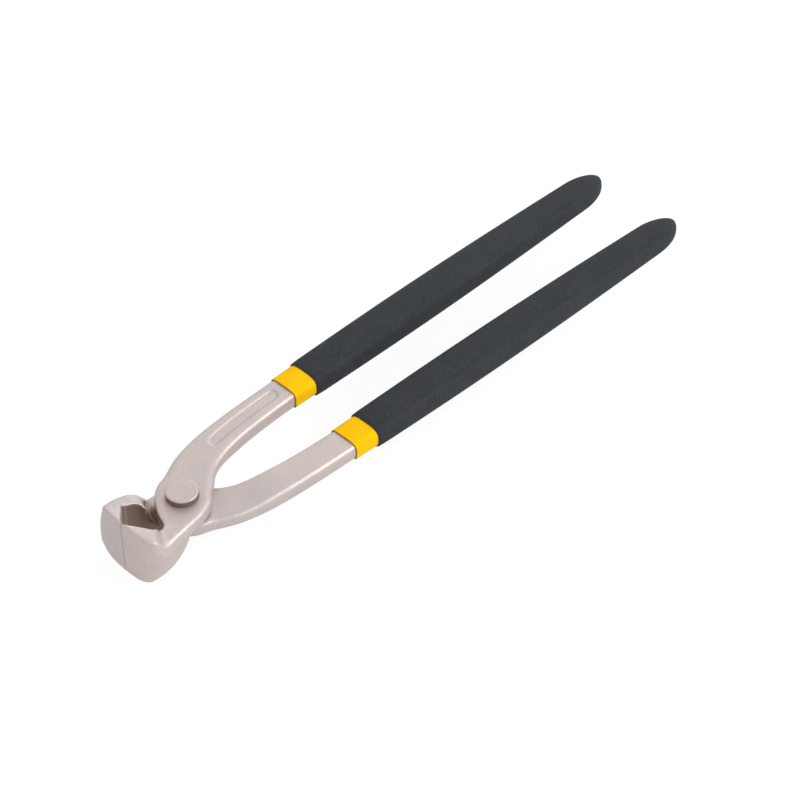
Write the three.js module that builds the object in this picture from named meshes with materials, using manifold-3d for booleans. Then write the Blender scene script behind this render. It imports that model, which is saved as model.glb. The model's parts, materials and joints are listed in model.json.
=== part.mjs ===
// End-cutting nippers with long dipped handles, closed, lying flat.
// Two identical forged levers cross at a half-lap joint and turn on one rivet. Each handle wears
// a thin yellow first dip, whose front end shows as a collar, and a thicker black second dip.
// Millimetres. +X runs from the jaws to the handles, +Z is up along the rivet.

import * as THREE from 'three';
import { mergeVertices } from 'three/addons/utils/BufferGeometryUtils.js';
import Module from 'manifold-3d';

const { clamp, degToRad, lerp, smoothstep } = THREE.MathUtils;

// Reach, from the rivet's axis
const JAW_REACH = 28.6; // to the cutting edges
const HANDLE_REACH = 251.4; // to the ends of the grips

// Jaws. Rise is towards a lever's outer face, drop towards its lap side, from the middle plane.
const EDGE_RISE = 12.6; // ends of a cutting edge
const EDGE_DROP = 12.6;
const EDGE_LAND = 0.4; // blunt land along the edge
const EDGE_GAP = 0.3; // between the closed edges
const HEAD_WIDTH = 31.4; // across both jaws
const JAW_SIDE_X = 18.5; // from the rivet's axis to the widest place
const JAW_FULLNESS = 4; // power of the rounded outline: 2 is an ellipse, more is squarer
const JAW_BELLY = 0.9; // how far the outer face swells sideways, between its two long edges
const BELLY_FULLNESS = 4; // power of that swell: 2 is a parabola, more is squarer
const BELLY_SKEW = 1.5; // power that moves the fullest place towards the lever's outer face
const BELLY_FORWARD = 0.8; // how much it swells forward for each millimetre sideways
const DROP_INSET = 1.2; // how far the outer face's lower edge stands in from its upper one
const FACET_END = 67; // degrees round the outline where the raised upper face ends
const RIM_RISE = 9.9; // of the hollow's rim there
const RIM_DROP = 9.2;
const SIDE_RISE = 10.1; // of the jaw's outer edge there
const SIDE_DROP = 9.6;
const HOLLOW_WIDTH = 17.2; // clear width between the jaws
const BEVEL_LENGTH = 7.9; // run of the ground bevel behind the edge
const THROAT_X = 17.4; // from the rivet's axis to the back corner of the hollow
const THROAT_WIDTH = 15.9; // clear width there
const CROTCH_X = 14.8; // to the place where the neck's side turns to the plate's rim
const CROTCH_WIDTH = 13.2; // clear width there
const NECK_START = 86; // degrees round the outline where the neck starts
const THROAT_DROP = 8.4; // of the jaw's root there, on the hollow's side
const NECK_DROP = 9.2; // and on the outer side
const ROOT_RISE = 1.4; // of the neck's side above the plate at the throat
const ROOT_FADE = 18.4; // height the root would lose all along the neck
const ROOT_CURVE = 2.5; // power of that loss: 1 is straight, more falls later
const JAW_ROUND = 1.6; // reach of the rounding along the jaw's edges and the plate's front

// Half-lap joint
const PLATE_THICKNESS = 5.75;
const PLATE_RADIUS = 10.9;
const NOSE_RADIUS = 10.4; // of the rim towards the hollow, where it is flatter
const SHOULDER_RADIUS = 11.4; // where the rim runs into the arm's outer side
const RIM_SPREAD = 1.1; // how much the rim widens into the neck
const LAP_GAP = 0.3; // between the two plates
const SHOULDER_GAP = 3.3; // from a plate's rim to the other jaw's shoulder
const NECK_SWEEP = 20.5; // radius cleared under the neck for the other arm
const HEEL_SWEEP = 17; // radius cleared under the arm for the other plate
const ROOT_END = 237; // direction in degrees, about the rivet, where the jaw's root ends

// Arms and tangs
const ARM_ROOT_X = 8; // where the arm leaves the plate
const ARM_ROOT_WIDTH = 18.8; // there
const ARM_WIDTH = 12.8; // at the collar
const ARM_TAPER = 16; // length over which most of the width is lost
const ARM_THICKNESS = 7.2; // at the collar
const TANG_END_WIDTH = 9;
const TANG_END_THICKNESS = 5.4;
const HANDLE_OFFSET = 15.2; // of the handle's line from the axis, carried back to the rivet
const HANDLE_SPLAY = 0.0212; // how much further out it goes for each millimetre along
const ARM_SWEEP_START = 2.3; // where the arm's line leaves the axis
const ARM_SWEEP = 13; // length over which the arm swings out to the handle's line
const HANDLE_RISE = 2.3; // of the handle's middle above the tool's plane, at the collar
const UNDERSIDE_START = 14; // where the arm's underside leaves the lap face
const UNDERSIDE_END = 34; // where it is level with the tang's
const ARM_ROUND = 2.4; // reach of the rounding along their edges and the neck's outer ones

// Sunk panel in the arm's outer face
const PANEL_START = 25;
const PANEL_END = 62;
const PANEL_WIDTH = 5;
const PANEL_DEPTH = 0.6;

// Rivet
const SHANK_DIAMETER = 8;
const RIVET_HEAD_DIAMETER = 12.4;
const RIVET_HEAD_THICKNESS = 2.5;
const RIVET_TAIL_DIAMETER = 11.6;
const RIVET_TAIL_THICKNESS = 1.8;
const RIVET_HEAD_EDGE = 0.4; // turned edge of the head
const RIVET_TAIL_EDGE = 0.8; // of the formed tail
const PIVOT_CLEARANCE = 0.1; // round the shank
const SEAT_CLEARANCE = 0.15; // under the head and over the tail

// Dipped coats
const COLLAR_START = 65.5;
const COLLAR_LENGTH = 10.7;
const COAT_GAP = 0.2; // between a coat and what it covers
const UNDERCOAT_THICKNESS = 0.6;
const GRIP_FRONT_WIDTH = 15.8;
const GRIP_FRONT_THICKNESS = 10.4;
const GRIP_WIDTH = 16.8; // at its fullest
const GRIP_THICKNESS = 11.2;
const GRIP_BACK_WIDTH = 14; // where the round end begins
const GRIP_BACK_THICKNESS = 9.4;
const GRIP_FULLEST = 135; // from the rivet's axis
const GRIP_END_ROUND = 15;
const GRIP_END_WALL = 10; // beyond the tang
const GRIP_ROUNDNESS = 0.42; // share of the thickness that each corner's rounding takes

// Mesh fineness
const CORNER_STEPS = 3;
const STATION_STEPS = 3;
const BELLY_STEPS = 7;
const ROUND_STEPS = 48;
const END_ANGLE = degToRad(84); // the grip's end stops here short of its pole

const wasm = await Module();
wasm.setup();

function solidFrom(geometry) {
  geometry.deleteAttribute('normal');
  geometry.deleteAttribute('uv');
  const merged = mergeVertices(geometry, 1e-4);
  const vertProperties = new Float32Array(merged.attributes.position.array);
  const triVerts = new Uint32Array(merged.index.array);
  return new wasm.Manifold(new wasm.Mesh({ numProp: 3, vertProperties, triVerts }));
}

function geometryFrom(solid) {
  const mesh = solid.getMesh();
  const geometry = new THREE.BufferGeometry();
  geometry.setAttribute('position', new THREE.BufferAttribute(mesh.vertProperties, 3));
  geometry.setIndex(new THREE.BufferAttribute(mesh.triVerts, 1));
  geometry.computeVertexNormals();
  return geometry;
}

// A ring round four corners, given anticlockwise as seen from behind, with each corner rounded.
// The first and last corner, on the right, have a reach of their own.
function roundedRing(corners, rightReach, leftReach) {
  const mostOfSide = 0.46;
  return corners.flatMap((corner, i) => {
    const before = corners[(i + 3) % 4];
    const after = corners[(i + 1) % 4];
    const reach = i === 0 || i === 3 ? rightReach : leftReach;
    const back = Math.min(reach / corner.distanceTo(before), mostOfSide);
    const ahead = Math.min(reach / corner.distanceTo(after), mostOfSide);
    const curve = new THREE.QuadraticBezierCurve3(
      corner.clone().lerp(before, back),
      corner,
      corner.clone().lerp(after, ahead),
    );
    return curve.getPoints(CORNER_STEPS);
  });
}

// The same ring with its closing side, from the last corner to the first, swelling outwards, but
// no further forward than the front of the jaws, which is ground flat.
function belliedRing(corners, rightReach, leftReach, belly) {
  const ring = roundedRing(corners, rightReach, leftReach);
  const from = ring[ring.length - 1];
  const to = ring[0];
  for (let i = 1; i < BELLY_STEPS; i += 1) {
    const t = i / BELLY_STEPS;
    const swell = belly * (1 - Math.abs(2 * t ** BELLY_SKEW - 1) ** BELLY_FULLNESS);
    const point = from.clone().lerp(to, t);
    point.x = Math.max(point.x - BELLY_FORWARD * swell, -JAW_REACH);
    point.y -= swell;
    ring.push(point);
  }
  return ring;
}

// A closed skin through rings of equal count, from the first to the last, capped at both ends.
function loft(rings) {
  const count = rings[0].length;
  const index = [];
  for (let i = 0; i + 1 < rings.length; i += 1) {
    for (let j = 0; j < count; j += 1) {
      const a = i * count + j;
      const b = i * count + ((j + 1) % count);
      index.push(a, a + count, b + count, a, b + count, b);
    }
  }
  const last = (rings.length - 1) * count;
  for (let j = 1; j + 1 < count; j += 1) {
    index.push(0, j, j + 1, last, last + j + 1, last + j);
  }
  const geometry = new THREE.BufferGeometry().setFromPoints(rings.flat());
  geometry.setIndex(index);
  return geometry;
}

const lapFace = LAP_GAP / 2;
const plateTop = lapFace + PLATE_THICKNESS;
const tangEnd = HANDLE_REACH - GRIP_END_WALL;
const undercoatEnd = tangEnd + COAT_GAP + UNDERCOAT_THICKNESS;
const gripStart = COLLAR_START + COLLAR_LENGTH;

// The handle's line seen from above, and its height, which drifts back to the tool's plane.
const handleY = (x) =>
  HANDLE_OFFSET * (1 - Math.exp((ARM_SWEEP_START - x) / ARM_SWEEP)) + HANDLE_SPLAY * x;
const handleZ = (x) =>
  HANDLE_RISE * clamp((HANDLE_REACH - x) / (HANDLE_REACH - COLLAR_START), 0, 1);

// A place seen from above, by its angle and distance from the rivet's axis.
const polar = (degrees, radius) => [
  radius * Math.cos(degToRad(degrees)),
  radius * Math.sin(degToRad(degrees)),
];

const between = (a, b, share) => [lerp(a[0], b[0], share), lerp(a[1], b[1], share)];

// Arm or tang at a place along its line, square to the line.
function armStation(x) {
  const step = 0.01;
  const line = new THREE.Vector2(2 * step, handleY(x + step) - handleY(x - step)).normalize();
  const toCollar = clamp(x / COLLAR_START, 0, 1);
  const toEnd = clamp((x - COLLAR_START) / (tangEnd - COLLAR_START), 0, 1);
  const toTang = smoothstep(x, UNDERSIDE_START, UNDERSIDE_END);
  const spread = (ARM_ROOT_WIDTH - ARM_WIDTH) * Math.exp((ARM_ROOT_X - x) / ARM_TAPER);
  const half = lerp(ARM_WIDTH + spread, TANG_END_WIDTH, toEnd) / 2;
  const thick = lerp(ARM_THICKNESS, TANG_END_THICKNESS, toEnd);
  const y = handleY(x);
  return {
    right: [x + line.y * half, y - line.x * half],
    left: [x - line.y * half, y + line.x * half],
    top: lerp(plateTop, handleZ(x) + thick / 2, toCollar),
    bottom: lerp(lapFace, handleZ(x) - thick / 2, toTang),
  };
}

// A section of the lever: corners upper right, upper left, lower left and lower right, where
// right and left are its two sides seen from above, walking from jaw to handle.
function section(right, left, lowRight, heights, belly, rightReach, leftReach) {
  const plan = [right, left, left, lowRight];
  const corners = plan.map(([x, y], i) => new THREE.Vector3(x, y, heights[i]));
  return { corners, shape: new THREE.Vector3(rightReach, leftReach, belly) };
}

function levelSection({ right, left, top, bottom }, leftReach) {
  return section(right, left, right, [top, top, bottom, bottom], 0, ARM_ROUND, leftReach);
}

// The upper lever's sections, from the cutting edge round the jaw, over the rivet and along the
// arm. Under the plate they run deeper than the lap face, which is cut afterwards.
function leverSections() {
  const edgeY = -EDGE_GAP / 2;
  const hollow = [BEVEL_LENGTH - JAW_REACH, -HOLLOW_WIDTH / 2];
  const throat = [-THROAT_X, -THROAT_WIDTH / 2];
  const crotch = [-CROTCH_X, -CROTCH_WIDTH / 2];
  const plateFront = polar(178, PLATE_RADIUS + RIM_SPREAD);
  const plateSide = polar(-94, PLATE_RADIUS + RIM_SPREAD);
  const bottom = lapFace - PLATE_THICKNESS / 4;
  const outside = (degrees, inset) => {
    const power = 2 / JAW_FULLNESS;
    const forward = Math.cos(degToRad(degrees)) ** power;
    const sideways = Math.sin(degToRad(degrees)) ** power;
    return [lerp(-JAW_SIDE_X, -JAW_REACH, forward), lerp(edgeY, inset - HEAD_WIDTH / 2, sideways)];
  };
  const bevel = (share) => between([EDGE_LAND - JAW_REACH, edgeY], hollow, share);
  const jaw = (share, left, swell) => {
    const right = outside(share * FACET_END, 0);
    const lowRight = outside(share * FACET_END, DROP_INSET);
    const heights = [
      lerp(EDGE_RISE, SIDE_RISE, share),
      lerp(EDGE_RISE, RIM_RISE, share),
      -lerp(EDGE_DROP, RIM_DROP, share),
      -lerp(EDGE_DROP, SIDE_DROP, share ** 2),
    ];
    return section(right, left, lowRight, heights, JAW_BELLY * swell, JAW_ROUND, JAW_ROUND);
  };
  const neck = (share, left) => {
    const right = between(outside(NECK_START, 0), plateSide, share);
    const lowRight = [right[0], right[1] + DROP_INSET * (1 - share)];
    const fade = ROOT_FADE * share ** ROOT_CURVE;
    const rise = ROOT_RISE * (1 - share) ** 2;
    const heights = [plateTop, plateTop + rise, fade - THROAT_DROP, fade - NECK_DROP];
    const belly = JAW_BELLY * (1 - share);
    return section(right, left, lowRight, heights, belly, ARM_ROUND, JAW_ROUND);
  };
  const armShares = [0, 0.1, 0.19, 0.3, 0.42, 0.57, 0.78, 1];
  const alongArm = armShares.map((share) => lerp(ARM_ROOT_X, COLLAR_START, share));
  alongArm.push(lerp(COLLAR_START, tangEnd, 0.25), tangEnd);
  const plate = (right, left, leftReach) =>
    levelSection({ right, left, top: plateTop, bottom }, leftReach);
  const rim = (degrees) => polar(degrees, PLATE_RADIUS);
  return [
    jaw(0, bevel(0), 0),
    jaw(0.08, bevel(0.15), 0.45),
    jaw(0.22, bevel(0.36), 0.85),
    jaw(0.5, bevel(0.7), 1),
    jaw(0.75, hollow, 1),
    jaw(1, between(hollow, throat, 0.4), 1),
    neck(0, throat),
    neck(0.28, crotch),
    neck(0.5, between(crotch, plateFront, 0.5)),
    neck(0.72, between(crotch, plateFront, 0.8)),
    plate(plateSide, plateFront, JAW_ROUND),
    plate(rim(-74), polar(158, NOSE_RADIUS), JAW_ROUND),
    plate(rim(-54), polar(135, NOSE_RADIUS), JAW_ROUND),
    plate(rim(-30), polar(104, SHOULDER_RADIUS), (JAW_ROUND + ARM_ROUND) / 2),
    ...alongArm.map((x) => levelSection(armStation(x), ARM_ROUND)),
  ];
}

function forgedLever() {
  const stations = leverSections();
  const rail = (place) => new THREE.CatmullRomCurve3(stations.map(place));
  const rails = [0, 1, 2, 3].map((i) => rail((s) => s.corners[i]));
  const shapes = rail((s) => s.shape);
  const count = (stations.length - 1) * STATION_STEPS;
  const rings = [];
  for (let i = 0; i <= count; i += 1) {
    const corners = rails.map((curve) => curve.getPoint(i / count));
    const { x: rightReach, y: leftReach, z: belly } = shapes.getPoint(i / count);
    rings.push(belliedRing(corners, rightReach, leftReach, belly));
  }
  return solidFrom(loft(rings));
}

// Everything below the lap face that the other lever's plate and arm sweep through.
function lapPocket() {
  const rim = PLATE_RADIUS + SHOULDER_GAP;
  const rootEnd = degToRad(ROOT_END);
  const heelStart = degToRad(-60);
  const heelEnd = degToRad(95);
  const shape = new THREE.Shape();
  shape.absarc(0, 0, NECK_SWEEP, rootEnd - 2 * Math.PI, heelStart, false);
  shape.absarc(0, 0, HEEL_SWEEP, heelStart, heelEnd, false);
  shape.absarc(0, 0, rim, heelEnd, rootEnd, false);
  const depth = 2 * EDGE_DROP;
  const options = { depth, bevelEnabled: false, curveSegments: ROUND_STEPS };
  const geometry = new THREE.ExtrudeGeometry(shape, options);
  geometry.translate(0, 0, lapFace - depth);
  return solidFrom(geometry);
}

function rivetHole() {
  const radius = SHANK_DIAMETER / 2 + PIVOT_CLEARANCE;
  const geometry = new THREE.CylinderGeometry(radius, radius, 4 * plateTop, ROUND_STEPS);
  geometry.rotateX(Math.PI / 2);
  return solidFrom(geometry);
}

// A shallow panel along the arm's outer face, with round ends.
function sunkPanel() {
  const half = PANEL_WIDTH / 2;
  const endSteps = 5;
  const bodySteps = 6;
  const places = [];
  for (let i = 1; i <= endSteps; i += 1) {
    places.push(half * (1 - Math.cos((i * Math.PI) / 2 / endSteps)));
  }
  const body = [];
  for (let i = 1; i < bodySteps; i += 1) {
    body.push(lerp(PANEL_START + half, PANEL_END - half, i / bodySteps));
  }
  const xs = [
    ...places.map((d) => PANEL_START + d),
    ...body,
    ...places.map((d) => PANEL_END - d).reverse(),
  ];
  const above = plateTop + ARM_THICKNESS;
  const rings = xs.map((x) => {
    const fromEnd = Math.min(x - PANEL_START, PANEL_END - x, half);
    const wide = Math.sqrt(half ** 2 - (half - fromEnd) ** 2);
    const floor = armStation(x).top - PANEL_DEPTH;
    const y = handleY(x);
    return [
      new THREE.Vector3(x, y - wide, above),
      new THREE.Vector3(x, y + wide, above),
      new THREE.Vector3(x, y + wide, floor),
      new THREE.Vector3(x, y - wide, floor),
    ];
  });
  return solidFrom(loft(rings));
}

function leverGeometry() {
  const cut = forgedLever().subtract(lapPocket()).subtract(rivetHole()).subtract(sunkPanel());
  return geometryFrom(cut);
}

function rivetGeometry() {
  const shank = SHANK_DIAMETER / 2;
  const head = RIVET_HEAD_DIAMETER / 2;
  const tail = RIVET_TAIL_DIAMETER / 2;
  const seat = plateTop + SEAT_CLEARANCE;
  const headTop = seat + RIVET_HEAD_THICKNESS;
  const tailEnd = -seat - RIVET_TAIL_THICKNESS;
  const profile = [
    [0, tailEnd],
    [tail - RIVET_TAIL_EDGE, tailEnd],
    [tail, tailEnd + RIVET_TAIL_EDGE],
    [tail, -seat],
    [shank, -seat],
    [shank, seat],
    [head, seat],
    [head, headTop - RIVET_HEAD_EDGE],
    [head - RIVET_HEAD_EDGE, headTop],
    [0, headTop],
  ].map(([radius, height]) => new THREE.Vector2(radius, height));
  const geometry = new THREE.LatheGeometry(profile, ROUND_STEPS);
  geometry.rotateX(Math.PI / 2);
  return geometryFrom(solidFrom(geometry));
}

// A ring square to the tool's length round the handle's line.
function handleRing(x, width, thickness, reach) {
  const y = handleY(x);
  const z = handleZ(x);
  const corners = [
    new THREE.Vector3(x, y - width / 2, z + thickness / 2),
    new THREE.Vector3(x, y + width / 2, z + thickness / 2),
    new THREE.Vector3(x, y + width / 2, z - thickness / 2),
    new THREE.Vector3(x, y - width / 2, z - thickness / 2),
  ];
  return roundedRing(corners, reach, reach);
}

// The tang's outline grown on every side, from one place along the handle to another.
function tangGrown(from, to, grow) {
  const steps = 14;
  const rings = [];
  for (let i = 0; i <= steps; i += 1) {
    const x = lerp(from, to, i / steps);
    const s = armStation(x);
    const width = s.left[1] - s.right[1] + 2 * grow;
    rings.push(handleRing(x, width, s.top - s.bottom + 2 * grow, ARM_ROUND + grow));
  }
  return solidFrom(loft(rings));
}

// First dip: a thin cup over the tang, open at the collar.
function undercoatGeometry() {
  const outside = tangGrown(COLLAR_START, undercoatEnd, COAT_GAP + UNDERCOAT_THICKNESS);
  const inside = tangGrown(COLLAR_START - COAT_GAP, tangEnd + COAT_GAP, COAT_GAP);
  return geometryFrom(outside.subtract(inside));
}

// Second dip: swells from the collar to its fullest place, then tapers to a round end.
function gripGeometry() {
  const back = HANDLE_REACH - GRIP_END_ROUND;
  const bodySteps = 16;
  const endSteps = 7;
  const swell = (x, frontSize, fullSize, backSize) => {
    const rise = Math.sin((Math.PI / 2) * clamp((x - gripStart) / (GRIP_FULLEST - gripStart), 0, 1));
    const fall = 1 - Math.cos((Math.PI / 2) * clamp((x - GRIP_FULLEST) / (back - GRIP_FULLEST), 0, 1));
    return lerp(frontSize, fullSize, rise) + (backSize - fullSize) * fall;
  };
  const rings = [];
  for (let i = 0; i <= bodySteps; i += 1) {
    const x = lerp(gripStart, back, i / bodySteps);
    const width = swell(x, GRIP_FRONT_WIDTH, GRIP_WIDTH, GRIP_BACK_WIDTH);
    const thickness = swell(x, GRIP_FRONT_THICKNESS, GRIP_THICKNESS, GRIP_BACK_THICKNESS);
    rings.push(handleRing(x, width, thickness, GRIP_ROUNDNESS * thickness));
  }
  for (let i = 1; i <= endSteps; i += 1) {
    const angle = (i / endSteps) * END_ANGLE;
    const x = back + (GRIP_END_ROUND * Math.sin(angle)) / Math.sin(END_ANGLE);
    const thickness = GRIP_BACK_THICKNESS * Math.cos(angle);
    rings.push(handleRing(x, GRIP_BACK_WIDTH * Math.cos(angle), thickness, GRIP_ROUNDNESS * thickness));
  }
  const grow = 2 * COAT_GAP + UNDERCOAT_THICKNESS;
  const inside = tangGrown(gripStart - COAT_GAP, undercoatEnd + COAT_GAP, grow);
  return geometryFrom(solidFrom(loft(rings)).subtract(inside));
}

const FORGED_STEEL = { color: 0xc9beb9, roughness: 0.42, metalness: 0.9 };
const RIVET_STEEL = { color: 0xcdc3bf, roughness: 0.38, metalness: 0.9 };
const YELLOW_DIP = { color: 0xfdc60b, roughness: 0.35, metalness: 0 };
const BLACK_DIP = { color: 0x3a3e41, roughness: 0.75, metalness: 0 };

function piece(name, geometry, finish) {
  const mesh = new THREE.Mesh(geometry, new THREE.MeshStandardMaterial(finish));
  mesh.name = name;
  return mesh;
}

function half(level) {
  const group = new THREE.Group();
  group.add(
    piece(`${level}_lever`, leverGeometry(), FORGED_STEEL),
    piece(`${level}_undercoat`, undercoatGeometry(), YELLOW_DIP),
    piece(`${level}_grip`, gripGeometry(), BLACK_DIP),
  );
  return group;
}

const upperHalf = half('upper');
const lowerHalf = half('lower');
lowerHalf.rotation.x = Math.PI;

// The tool stands on the ends of its cutting edges, with the middle of its length at the origin.
const tool = new THREE.Group();
tool.position.set((JAW_REACH - HANDLE_REACH) / 2, 0, EDGE_DROP);
tool.add(upperHalf, lowerHalf, piece('pivot_rivet', rivetGeometry(), RIVET_STEEL));

const nippers = new THREE.Group();
nippers.add(tool);

export default nippers;
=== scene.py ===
"""Looks of the long-handled end-cutting nippers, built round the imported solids. Metres."""

import json
import math

import bpy
import numpy as np
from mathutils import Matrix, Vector


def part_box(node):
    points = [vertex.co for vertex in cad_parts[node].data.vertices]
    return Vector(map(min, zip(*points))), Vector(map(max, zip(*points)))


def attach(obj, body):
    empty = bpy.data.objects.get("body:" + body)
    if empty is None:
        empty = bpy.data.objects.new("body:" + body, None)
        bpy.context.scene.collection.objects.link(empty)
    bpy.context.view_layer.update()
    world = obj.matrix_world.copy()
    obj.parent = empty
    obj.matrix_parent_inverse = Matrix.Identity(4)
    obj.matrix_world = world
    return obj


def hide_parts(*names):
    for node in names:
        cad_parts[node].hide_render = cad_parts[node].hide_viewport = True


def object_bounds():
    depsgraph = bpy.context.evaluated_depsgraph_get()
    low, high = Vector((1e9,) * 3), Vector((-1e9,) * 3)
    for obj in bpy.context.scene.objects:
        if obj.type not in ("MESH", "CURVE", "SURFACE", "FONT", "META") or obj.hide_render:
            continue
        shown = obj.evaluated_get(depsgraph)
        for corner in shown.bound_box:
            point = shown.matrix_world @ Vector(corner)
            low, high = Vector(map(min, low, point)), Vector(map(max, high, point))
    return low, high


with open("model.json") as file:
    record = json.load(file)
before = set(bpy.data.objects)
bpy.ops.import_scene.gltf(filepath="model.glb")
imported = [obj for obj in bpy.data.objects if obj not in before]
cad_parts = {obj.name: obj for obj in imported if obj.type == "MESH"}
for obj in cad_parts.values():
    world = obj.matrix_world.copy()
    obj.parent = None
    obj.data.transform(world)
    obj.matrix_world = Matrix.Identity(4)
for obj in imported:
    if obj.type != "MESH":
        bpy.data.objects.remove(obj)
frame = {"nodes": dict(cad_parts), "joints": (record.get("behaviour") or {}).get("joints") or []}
cad_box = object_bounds()
scene = bpy.context.scene


# Forged levers
# Each lever is one drop forging of carbon steel: jaw, lap plate, arm and the tang in the grip.
# It is shot-blasted and satin plated, so its edges are soft and its skin is finely pitted.

RIVET_X, _, LAP_Z = frame["joints"][0]["pos_m"]
JAW_END = cad_box[0][0]

# What the plate's marks measure, and their colours.
PATCH_SIZE = 0.018
PIT_SIZE = 0.0006
HAMMER_SIZE = 0.005
SKIN_DEPTH = 0.00006
LEVER_WARM = (210, 197, 192)
LEVER_COOL = (204, 195, 194)
PIT_SHADE = (168, 154, 148)
# Browns painted on as shade in the hollow and under the rivet's head.
SHADE_BROWN = (152, 131, 118)
DEEP_SHADE_BROWN = (106, 88, 78)

# Where the painted shade begins and ends: each pair is a soft change from its first place to its
# second.
HOLLOW_MOUTH = (JAW_END + 0.0004, JAW_END + 0.0035)
HOLLOW_DARKER = (JAW_END + 0.0055, JAW_END + 0.008)
HOLLOW_ALL_ROUND = (JAW_END + 0.0075, JAW_END + 0.01)
HOLLOW_BACK = (RIVET_X - 0.0114, RIVET_X - 0.0098)
HOLLOW_SIDES = (0.0088, 0.01)
LAP_DEPTH = (0.0005, 0.0012)
LAP_BACK = (RIVET_X - 0.0081, RIVET_X - 0.0061)
LIGHTER_SIDES = (0.0055, 0.0095)
HEAD_RIM = (0.006, 0.0066)
LAP_STREAK_WIDTH = 0.0008


class Shade:
    """A socket of a material's nodes; arithmetic on it adds Math nodes."""

    def __init__(self, tree, socket=None):
        self.tree = tree
        self.socket = socket

    def node(self, kind, settings, sockets, output=0):
        made = self.tree.nodes.new(kind)
        for name, value in settings.items():
            setattr(made, name, value)
        for name, value in sockets.items():
            if isinstance(value, Shade):
                self.tree.links.new(value.socket, made.inputs[name])
            else:
                made.inputs[name].default_value = value
        return Shade(self.tree, made.outputs[output])

    def maths(self, operation, *values):
        return self.node("ShaderNodeMath", {"operation": operation}, dict(enumerate(values)))

    def __add__(self, other):
        return self.maths("ADD", self, other)

    def __radd__(self, other):
        return self.maths("ADD", other, self)

    def __sub__(self, other):
        return self.maths("SUBTRACT", self, other)

    def __rsub__(self, other):
        return self.maths("SUBTRACT", other, self)

    def __mul__(self, other):
        return self.maths("MULTIPLY", self, other)

    def __rmul__(self, other):
        return self.maths("MULTIPLY", other, self)

    def size(self):
        """The value without its sign."""
        return self.maths("ABSOLUTE", self)

    def span(self, low, high):
        """0 up to low, 1 from high on, and a soft rise between them."""
        ends = {"Value": self, "From Min": low, "From Max": high}
        return self.node("ShaderNodeMapRange", {"interpolation_type": "SMOOTHSTEP"}, ends)

    def colours(self, first, second):
        """The first colour where this is 0, the second where it is 1."""
        return self.node(
            "ShaderNodeMix", {"data_type": "RGBA"}, {0: self, 6: first, 7: second}, output=2
        )

    def grain(self, size, detail=2.0, roughness=0.5):
        """Noise, with features of about that size in metres, fixed to the object."""
        place = self.node("ShaderNodeTexCoord", {}, {}, output="Object")
        sockets = {"Vector": place, "Scale": 1 / size, "Detail": detail, "Roughness": roughness}
        return self.node("ShaderNodeTexNoise", {}, sockets)

    def place(self, axis):
        """One coordinate of the piece's frame, in metres."""
        point = self.node("ShaderNodeTexCoord", {}, {}, output="Object")
        return self.node("ShaderNodeSeparateXYZ", {}, {0: point}, output=axis)

    def facing(self, axis):
        """One part of the direction that the surface faces, in the piece's frame."""
        normal = self.node("ShaderNodeTexCoord", {}, {}, output="Normal")
        return self.node("ShaderNodeSeparateXYZ", {}, {0: normal}, output=axis)


def surface(name):
    """A new material: itself, a start for its node maths and its shader's inputs."""
    material = bpy.data.materials.new(name)
    material.use_nodes = True
    tree = material.node_tree
    return material, Shade(tree), tree.nodes["Principled BSDF"].inputs


def feed(shade, socket):
    shade.tree.links.new(shade.socket, socket)


def bumped(shade, height, distance, strength):
    """The normal of a surface roughened by a height from 0 to 1 of that depth in metres."""
    return shade.node(
        "ShaderNodeBump", {}, {"Height": height, "Distance": distance, "Strength": strength}
    )


def linear(red, green, blue):
    """A colour given as it looks on a screen, 0 to 255, as the shader wants it."""
    def one(value):
        value = value / 255
        return value / 12.92 if value <= 0.04045 else ((value + 0.055) / 1.055) ** 2.4
    return one(red), one(green), one(blue), 1.0


def plated_steel(name, warm, cool, painted_shade):
    """Satin plate over blasted steel, with painted shade: plain where the mask is 0, painted dark
    brown where it is 1.
    """
    material, steel, shader = surface(name)
    patches = steel.grain(PATCH_SIZE, detail=3.0).span(0.35, 0.65)
    pits = steel.grain(PIT_SIZE, detail=3.0, roughness=0.7).span(0.3, 0.7)
    hammer = steel.grain(HAMMER_SIZE, detail=1.0)
    shade_amount = painted_shade(steel)
    skin = patches.colours(linear(*warm), linear(*cool))
    skin = (pits * 0.22).colours(skin, linear(*PIT_SHADE))
    # Painted shade: brown where the mask is weak, dark brown where it is strong.
    skin = (shade_amount * 1.6).colours(skin, linear(*SHADE_BROWN))
    skin = shade_amount.span(0.6, 1.0).colours(skin, linear(*DEEP_SHADE_BROWN))
    feed(skin, shader["Base Color"])
    feed(0.48 + 0.1 * pits + 0.05 * patches + 0.12 * shade_amount, shader["Roughness"])
    shader["Metallic"].default_value = 0.9
    feed(bumped(steel, pits * 0.8 + hammer * 1.4, SKIN_DEPTH, 0.5), shader["Normal"])
    return material


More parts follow.
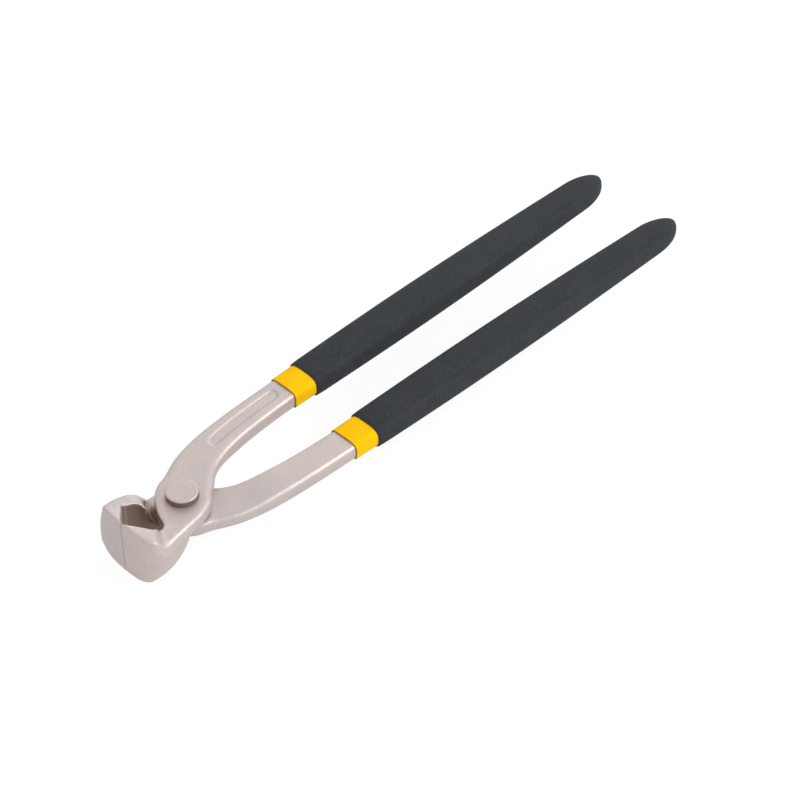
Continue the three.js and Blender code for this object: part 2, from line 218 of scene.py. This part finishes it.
def painted_hollow_shade(steel):
    """Painted shade: on the walls of the jaws' hollow, on the lap faces and in a ring round the
    rivet's head.

    The lap faces' painted shade is broken by streaks round the rivet and lighter on their outsides.
    """
    x, y, up = steel.place("X"), steel.place("Y"), steel.facing("Z")
    level = up.size().span(0.45, 0.8)
    narrow = 1 - y.size().span(*HOLLOW_SIDES)
    faces_in = steel.facing("X").span(-0.3, 0.1)
    inner = steel.maths("MAXIMUM", faces_in, x.span(*HOLLOW_ALL_ROUND))
    hollow = x.span(*HOLLOW_MOUTH) * (1 - x.span(*HOLLOW_BACK))
    # Painted shade on the walls in the hollow, darker further in.
    walls = (1 - level) * narrow * inner * hollow * (0.6 + 0.4 * x.span(*HOLLOW_DARKER))
    from_rivet = steel.maths("SQRT", (x - RIVET_X) * (x - RIVET_X) + y * y)
    lap_streaks = steel.node(
        "ShaderNodeTexNoise",
        {"noise_dimensions": "1D"},
        {"W": from_rivet, "Scale": 1 / LAP_STREAK_WIDTH, "Detail": 2.0},
    ).span(0.4, 0.65)
    near_lap = 1 - (steel.place("Z") - LAP_Z).size().span(*LAP_DEPTH)
    lighter_sides = (y * up).span(*LIGHTER_SIDES)
    # Painted shade on the lap faces, broken by streaks and lighter on their outsides.
    lap = level * near_lap * (1 - x.span(*LAP_BACK)) * (1 - 0.6 * lighter_sides) * (1 - 0.2 * lap_streaks)
    # A painted shadow in a ring round the rivet's head.
    ring = (1 - from_rivet.span(*HEAD_RIM)) * up.span(0.6, 0.9)
    return walls * 0.58 + lap + ring * 0.38


def forged_skin(node, voxel, rounds):
    """Gives a solid the rounded edges of a blasted forging."""
    skin = node.modifiers.new("even skin", "REMESH")
    skin.mode = "VOXEL"
    skin.voxel_size = voxel
    skin.use_smooth_shade = True
    soft = node.modifiers.new("blasted edges", "SMOOTH")
    soft.factor = 0.5
    soft.iterations = rounds


# The levers' steel takes painted shade in the hollow, on the lap faces and round the rivet's head.
forged_steel = plated_steel("forged steel", LEVER_WARM, LEVER_COOL, painted_hollow_shade)
for lever in ("upper_lever", "lower_lever"):
    forged_skin(frame["nodes"][lever], voxel=0.00036, rounds=9)
    frame["nodes"][lever].material_slots[0].material = forged_steel


# Cutting edges
# The two edges are ground after the forging is blasted, so a narrow land along each stays crisp
# while the rest of the jaw is round. It is one steel with the lever.

EDGE_HALF = 0.012
EDGE_GAP = 0.00015
EDGE_LAND = 0.0004
EDGE_DEPTH = 0.0009
EDGE_LEAN = 0.0001
EDGE_PLAN = (
    (JAW_END, EDGE_GAP),
    (JAW_END + EDGE_LAND, EDGE_GAP),
    (JAW_END + EDGE_DEPTH, EDGE_DEPTH),
    (JAW_END + EDGE_LEAN, EDGE_DEPTH),
)
SIDES = {"upper": 1, "lower": -1}

for level, side in SIDES.items():
    corners = [
        (x, -side * y, LAP_Z + side * z) for z in (-EDGE_HALF, EDGE_HALF) for x, y in EDGE_PLAN
    ]
    walls = [(k, 4 + k, 4 + (k + 1) % 4, (k + 1) % 4) for k in range(4)]
    land = bpy.data.meshes.new(f"{level}_edge")
    land.from_pydata(corners, [], [(0, 1, 2, 3), (7, 6, 5, 4)] + walls)
    land.materials.append(forged_steel)
    edge = bpy.data.objects.new(f"{level}_edge", land)
    scene.collection.objects.link(edge)
    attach(edge, f"{level}_half")


# Pivot rivet
# One steel rivet joins the levers. Its wide flat head is turned before it is plated, and its tail
# is pressed out flat under the lower lever.

RIVET_WARM = (209, 197, 191)
RIVET_COOL = (204, 194, 190)


def painted_head_shade(steel):
    """Painted shade on the head's wall and in the narrow gap under it."""
    return 0.71 * (1 - steel.facing("Z").size().span(0.1, 0.6))


# The rivet's steel takes painted shade on its head's wall.
rivet_steel = plated_steel("rivet steel", RIVET_WARM, RIVET_COOL, painted_head_shade)
forged_skin(frame["nodes"]["pivot_rivet"], voxel=0.0002, rounds=6)
frame["nodes"]["pivot_rivet"].material_slots[0].material = rivet_steel


# Yellow first dip
# Each tang is dipped once in yellow vinyl. The coat is thin where it starts on the steel, thicker
# towards the second dip that covers the rest, and its front edge is a soft bead.

# Places along a handle are measured from the rivet's axis, growths outwards from the tang's skin.
COLLAR_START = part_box("upper_undercoat")[0].x - RIVET_X
GRIP_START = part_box("upper_grip")[0].x - RIVET_X
HANDLE_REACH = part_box("upper_grip")[1].x - RIVET_X
HANDLE_OFFSET = 0.0152
HANDLE_SPLAY = 0.0212
HANDLE_RISE = 0.0023
ARM_SWEEP_START = 0.0023
ARM_SWEEP = 0.013
TANG_END = 0.2414
TANG_WIDTHS = (0.0128, 0.009)
TANG_THICKNESSES = (0.0072, 0.0054)
TANG_SQUARENESS = 5.0
COAT_SQUARENESS = 3.2
COAT_GAP = 0.0002
COLLAR_FRONT = 0.0006
COLLAR_BACK = 0.001
COLLAR_LIP = 0.001
COVERED_COAT = 0.0008
COVERED_START = 0.0015
MOUTH_DEPTH = 0.002
RING_POINTS = 112
LINING_RINGS = 24
COLLAR_RINGS = 12
BEAD_STEPS = 8
YELLOW_DEEP = (253, 192, 2)
YELLOW_PALE = (255, 203, 6)
# Colour and width of the painted shade along the coat's front rim.
RIM_SHADE = (118, 98, 54)
RIM_WIDTH = 0.0005


def share(value, start, end):
    return min(max((value - start) / (end - start), 0.0), 1.0)


def mixed(pair, part):
    return pair[0] + (pair[1] - pair[0]) * part


def handle_ring(x, width, thickness, squareness):
    """Points round the upper handle's line, at a distance along from the rivet's axis."""
    angles = np.linspace(0, 2 * math.pi, RING_POINTS, endpoint=False)
    power = 2 / squareness
    across = np.sign(np.cos(angles)) * abs(np.cos(angles)) ** power * width / 2
    upward = np.sign(np.sin(angles)) * abs(np.sin(angles)) ** power * thickness / 2
    sweep = 1 - math.exp((ARM_SWEEP_START - x) / ARM_SWEEP)
    middle_y = HANDLE_OFFSET * sweep + HANDLE_SPLAY * x
    middle_z = HANDLE_RISE * share(HANDLE_REACH - x, 0, HANDLE_REACH - COLLAR_START)
    return np.stack([np.full(RING_POINTS, x), middle_y + across, middle_z + upward], axis=1)


def tang_ring(x, grow, squareness):
    """The tang's outline at a place along it, grown on every side."""
    part = share(x, COLLAR_START, TANG_END)
    width = mixed(TANG_WIDTHS, part) + 2 * grow
    return handle_ring(x, width, mixed(TANG_THICKNESSES, part) + 2 * grow, squareness)


def sleeve(name, rings, side, material):
    """A closed skin through rings, from the deepest one inside to the outer end."""
    points = np.concatenate(rings) * np.array([1, side, side]) + np.array([RIVET_X, 0, LAP_Z])
    faces = []
    for row in range(len(rings) - 1):
        for k in range(RING_POINTS):
            a = row * RING_POINTS + k
            b = row * RING_POINTS + (k + 1) % RING_POINTS
            faces.append((a, b, b + RING_POINTS, a + RING_POINTS))
    last = (len(rings) - 1) * RING_POINTS
    faces.append(tuple(reversed(range(RING_POINTS))))
    faces.append(tuple(last + k for k in range(RING_POINTS)))
    mesh = bpy.data.meshes.new(name)
    mesh.from_pydata(points.tolist(), [], faces)
    mesh.polygons.foreach_set("use_smooth", [True] * len(mesh.polygons))
    mesh.materials.append(material)
    mesh.update()
    piece = bpy.data.objects.new(name, mesh)
    scene.collection.objects.link(piece)
    return piece


def bead(x, inner, outer):
    """Places and growths round a rounded front edge, from the inner skin to the outer one."""
    radius = (outer - inner) / 2
    turns = [math.pi * i / BEAD_STEPS for i in range(BEAD_STEPS + 1)]
    return [
        (x + radius * (1 - math.sin(turn)), inner + radius * (1 - math.cos(turn)))
        for turn in turns
    ]


def coat_rings():
    """The yellow coat: its lining, its front bead, the collar that shows and what the grip covers."""
    linings = np.linspace(TANG_END + COAT_GAP, COLLAR_START + MOUTH_DEPTH, LINING_RINGS)
    collars = np.linspace(COLLAR_START + COLLAR_LIP, GRIP_START, COLLAR_RINGS)
    covered = np.linspace(GRIP_START + COVERED_START, TANG_END + COVERED_COAT, LINING_RINGS)
    growths = [(x, COAT_GAP) for x in linings]
    growths += bead(COLLAR_START, COAT_GAP, COLLAR_FRONT)
    growths += [
        (x, mixed((COLLAR_FRONT, COLLAR_BACK), share(x, COLLAR_START, GRIP_START)))
        for x in collars
    ]
    growths += [(x, COVERED_COAT) for x in covered]
    squarenesses = (TANG_SQUARENESS, COAT_SQUARENESS)
    return [
        tang_ring(x, grow, mixed(squarenesses, share(grow, COAT_GAP, COLLAR_BACK)))
        for x, grow in growths
    ]


def yellow_vinyl():
    """Smooth yellow vinyl, faintly clouded, with painted shade along its front rim where it meets the
    steel.
    """
    material, vinyl, shader = surface("yellow vinyl")
    clouds = vinyl.grain(0.006, detail=3.0)
    fine = vinyl.grain(0.0005, detail=2.0)
    skin = clouds.span(0.3, 0.7).colours(linear(*YELLOW_DEEP), linear(*YELLOW_PALE))
    front = RIVET_X + COLLAR_START
    # Painted shade along the coat's front rim, where it meets the steel.
    rim_shade = 1 - vinyl.place("X").span(front, front + RIM_WIDTH)
    feed((rim_shade * 0.5).colours(skin, linear(*RIM_SHADE)), shader["Base Color"])
    feed(0.5 + 0.12 * clouds, shader["Roughness"])
    feed(bumped(vinyl, clouds + 0.3 * fine, 0.00008, 0.3), shader["Normal"])
    shader["Specular IOR Level"].default_value = 0.06
    return material


yellow = yellow_vinyl()
for level, side in SIDES.items():
    coat = sleeve(f"{level}_yellow_coat", coat_rings(), side, yellow)
    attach(coat, f"{level}_half")
    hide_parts(f"{level}_undercoat")


# Black second dip
# The handle is dipped again, further back, in thick black vinyl, which makes the grip. It swells
# to the middle, ends in a blunt drop, and its matt skin has a fine uneven grain.

# Widths and thicknesses of the grip along its length.
GRIP_FRONT = (0.0158, 0.0104)
GRIP_FULL = (0.0168, 0.0112)
GRIP_BACK = (0.014, 0.0094)
GRIP_FULLEST = 0.135
GRIP_SQUARENESS = 3.4
GRIP_END_ROUND = 0.015
GRIP_END_START = HANDLE_REACH - GRIP_END_ROUND
GRIP_END_TAPER = 0.4
GRIP_END_SOFTENING = 0.9
GRIP_END_TURN = math.radians(88)
LINING_GROWTH = 0.001
FRONT_GROWTH = 0.0014
FRONT_SWELL = 0.004
GRIP_RINGS = 70
END_RINGS = 16
BLACK_DEEP = (30, 34, 37)
BLACK_PALE = (38, 41, 46)
BLACK_GRAIN = (60, 65, 69)


def grip_size(x):
    """Width and thickness of the grip at a place along it, before its round end."""
    rise = math.sin(math.pi / 2 * share(x, GRIP_START, GRIP_FULLEST))
    fall = 1 - math.cos(math.pi / 2 * share(x, GRIP_FULLEST, GRIP_END_START))
    return [
        mixed((front, full), rise) + (rear - full) * fall
        for front, full, rear in zip(GRIP_FRONT, GRIP_FULL, GRIP_BACK)
    ]


def grip_rings():
    """The black grip: its lining, its front bead, its swelling length and its blunt end."""
    linings = np.linspace(TANG_END + LINING_GROWTH, GRIP_START + MOUTH_DEPTH, LINING_RINGS)
    rings = [tang_ring(x, LINING_GROWTH, TANG_SQUARENESS) for x in linings]
    for x, grow in bead(GRIP_START, LINING_GROWTH, FRONT_GROWTH):
        rings.append(tang_ring(x, grow, COAT_SQUARENESS))
    front = [extents[0] + 2 * FRONT_GROWTH for extents in (TANG_WIDTHS, TANG_THICKNESSES)]
    past_bead = GRIP_START + FRONT_GROWTH - LINING_GROWTH
    for x in np.linspace(past_bead, GRIP_END_START, GRIP_RINGS):
        swollen = math.sin(math.pi / 2 * share(x, GRIP_START, GRIP_START + FRONT_SWELL))
        size = [mixed(pair, swollen) for pair in zip(front, grip_size(x))]
        rings.append(handle_ring(x, *size, GRIP_SQUARENESS))
    for turn in np.linspace(0, GRIP_END_TURN, END_RINGS)[1:]:
        x = GRIP_END_START + GRIP_END_ROUND * math.sin(turn) / math.sin(GRIP_END_TURN)
        width = GRIP_BACK[0] * math.cos(turn)
        thickness = GRIP_BACK[1] * math.cos(turn) ** GRIP_END_TAPER
        squareness = GRIP_SQUARENESS - GRIP_END_SOFTENING * math.sin(turn)
        rings.append(handle_ring(x, width, thickness, squareness))
    return rings


def black_vinyl():
    """Matt black vinyl with a fine uneven grain, a little paler where the grains stand up."""
    material, vinyl, shader = surface("black vinyl")
    clouds = vinyl.grain(0.012, detail=3.0).span(0.3, 0.7)
    grains = vinyl.grain(0.0007, detail=4.0, roughness=0.65).span(0.3, 0.72)
    skin = clouds.colours(linear(*BLACK_DEEP), linear(*BLACK_PALE))
    skin = (grains * 0.8).colours(skin, linear(*BLACK_GRAIN))
    feed(skin, shader["Base Color"])
    feed(0.66 + 0.14 * grains, shader["Roughness"])
    feed(bumped(vinyl, grains * 0.8 + clouds * 0.5, 0.00012, 0.5), shader["Normal"])
    shader["Specular IOR Level"].default_value = 0.25
    return material


black = black_vinyl()
for level, side in SIDES.items():
    grip = sleeve(f"{level}_black_grip", grip_rings(), side, black)
    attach(grip, f"{level}_half")
    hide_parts(f"{level}_grip")


# Studio
# A white floor in a white room, with a soft lamp right of the camera and a weak one behind the
# tool. The camera stands where the photograph's did, looking down along the tool from its jaws.

FLOOR_HALF = 4.0
FLOOR_GREY = (0.75, 0.75, 0.75, 1.0)
TARGET = Vector((-0.0166, -0.0159, 0.01305))
CAMERA_AZIMUTH = -45.09
CAMERA_ELEVATION = 43.14
CAMERA_DISTANCE = 0.9114
CAMERA_LENS = 107.4
CAMERA_SENSOR = 36.0


def white_floor():
    """Grey paper that takes the shadow, lit up to white where the camera or the metal sees it."""
    material, paper, shader = surface("white floor")
    tree = material.node_tree
    seen = paper.node("ShaderNodeLightPath", {}, {}, output="Is Camera Ray")
    mirrored = paper.node("ShaderNodeLightPath", {}, {}, output="Is Glossy Ray")
    shader["Base Color"].default_value = FLOOR_GREY
    shader["Roughness"].default_value = 0.9
    shader["Specular IOR Level"].default_value = 0.0
    grey = Shade(tree, tree.nodes["Principled BSDF"].outputs[0])
    white = paper.node("ShaderNodeEmission", {}, {"Color": 1.2 * seen + 1.3 * mirrored})
    lit = 0.72 * seen + 0.5 * mirrored
    both = paper.node("ShaderNodeMixShader", {}, {0: lit, 1: grey, 2: white})
    feed(both, tree.nodes["Material Output"].inputs["Surface"])
    return material


ground = bpy.data.meshes.new("floor")
floor_corners = [(FLOOR_HALF * x, FLOOR_HALF * y, 0) for x, y in ((-1, -1), (1, -1), (1, 1), (-1, 1))]
ground.from_pydata(floor_corners, [], [(0, 1, 2, 3)])
ground.materials.append(white_floor())
floor = bpy.data.objects.new("floor", ground)
scene.collection.objects.link(floor)

scene.world = bpy.data.worlds.new("white room")
scene.world.use_nodes = True
room = Shade(scene.world.node_tree)
seen = room.node("ShaderNodeLightPath", {}, {}, output="Is Camera Ray")
mirrored = room.node("ShaderNodeLightPath", {}, {}, output="Is Glossy Ray")
sky = scene.world.node_tree.nodes["Background"].inputs
sky["Color"].default_value = (1.0, 1.0, 1.0, 1.0)
feed(0.7 + 0.3 * seen + 0.14 * mirrored, sky["Strength"])


def looking(azimuth, elevation):
    """The direction from the tool towards a place round it."""
    turn, rise = math.radians(azimuth), math.radians(elevation)
    return Vector(
        (math.sin(turn) * math.cos(rise), -math.cos(turn) * math.cos(rise), math.sin(rise))
    )


def stand(thing, azimuth, elevation, distance):
    """Puts a lamp or the camera round the tool, facing it."""
    towards = looking(azimuth, elevation)
    thing.location = TARGET + towards * distance
    thing.rotation_euler = towards.to_track_quat("Z", "Y").to_euler()
    scene.collection.objects.link(thing)


def soft_lamp(name, azimuth, elevation, distance, size, watts):
    light = bpy.data.lights.new(name, "AREA")
    light.size = size
    light.energy = watts
    stand(bpy.data.objects.new(name, light), azimuth, elevation, distance)


soft_lamp("key", azimuth=33, elevation=34, distance=1.3, size=0.6, watts=9.0)
soft_lamp("rim", azimuth=125, elevation=24, distance=1.3, size=0.7, watts=2.5)

lens = bpy.data.cameras.new("camera")
lens.sensor_width = CAMERA_SENSOR
lens.lens = CAMERA_LENS
camera = bpy.data.objects.new("camera", lens)
stand(camera, CAMERA_AZIMUTH, CAMERA_ELEVATION, CAMERA_DISTANCE)
scene.camera = camera
scene.view_settings.view_transform = "Standard"
